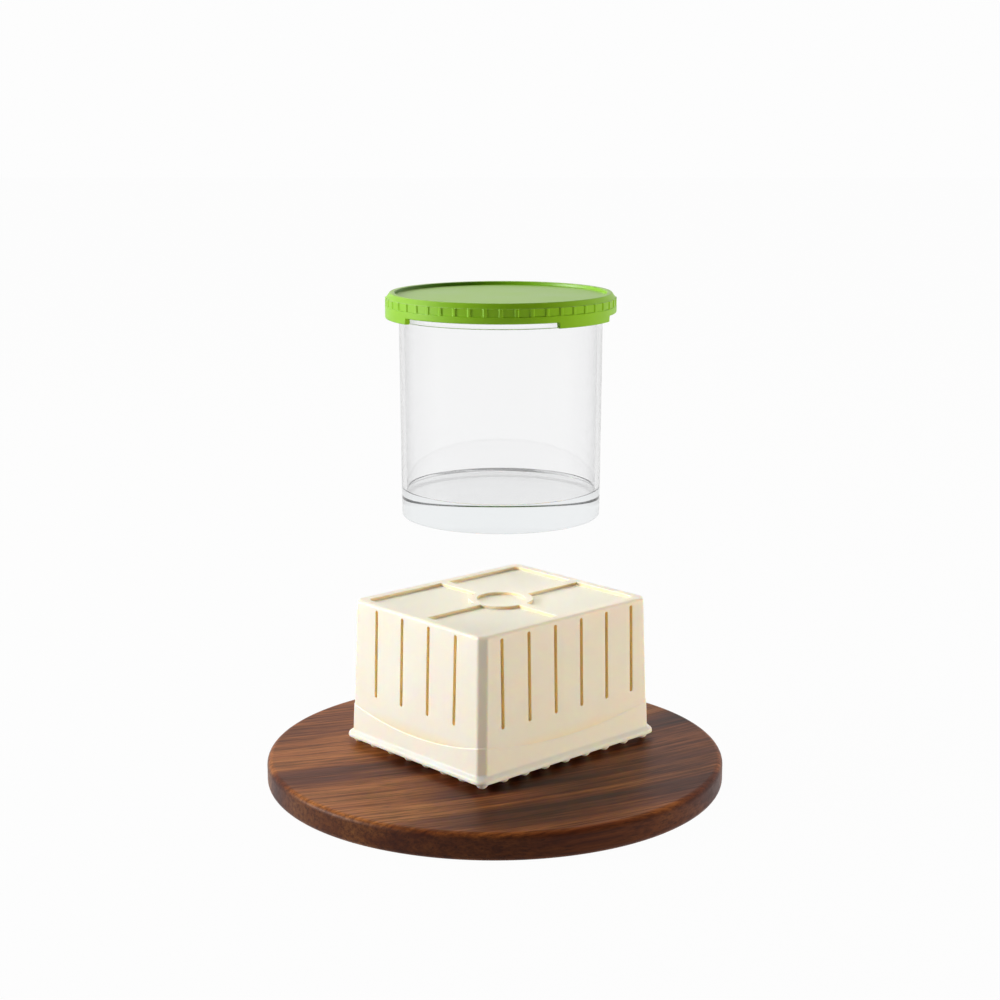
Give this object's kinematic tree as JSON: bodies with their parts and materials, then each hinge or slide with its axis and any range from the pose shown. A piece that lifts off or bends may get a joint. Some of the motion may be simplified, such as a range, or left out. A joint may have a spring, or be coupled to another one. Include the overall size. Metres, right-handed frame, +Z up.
{
  "type": "tofu press",
  "caption": "Weight-operated tofu press: slotted mould box upside down on a footed drain plate and a round wooden board, with a lidded glass jar as its weight.",
  "frame": {"origin": "centre of the underside of the round base board", "axes": "+Z up through the stack of board, box and jar; the picture looks along +Y, with +X to the right"},
  "size_m": [0.263, 0.263, 0.2796],
  "materials": {
    "walnut": "oiled dark walnut with straight grain",
    "cream_plastic": "moulded cream polypropylene, satin",
    "clear_glass": "clear, polished, thick base",
    "green_plastic": "moulded green, satin",
    "seal_rubber": "translucent silicone"
  },
  "bodies": {
    "board": {"base_board": "walnut"},
    "plate": {"drain_plate": "cream_plastic"},
    "box": {"press_box": "cream_plastic"},
    "weight": {"jar": "clear_glass"},
    "cap": {"lid": "green_plastic", "lid_seal": "seal_rubber"}
  },
  "joints": [
    {"name": "plate_lift", "type": "slide", "parent": "board", "child": "plate", "axis": [0, 0, 1], "range_m": [0, 0.02]},
    {"name": "box_lift", "type": "slide", "parent": "plate", "child": "box", "axis": [0, 0, 1], "range_m": [0, 0.045]},
    {"name": "jar_lift", "type": "slide", "parent": "box", "child": "weight", "axis": [0, 0, 1], "range_m": [-0.0507, 0.03]},
    {"name": "lid_lift", "type": "slide", "parent": "weight", "child": "cap", "axis": [0, 0, 1], "range_m": [0, 0.035]}
  ]
}
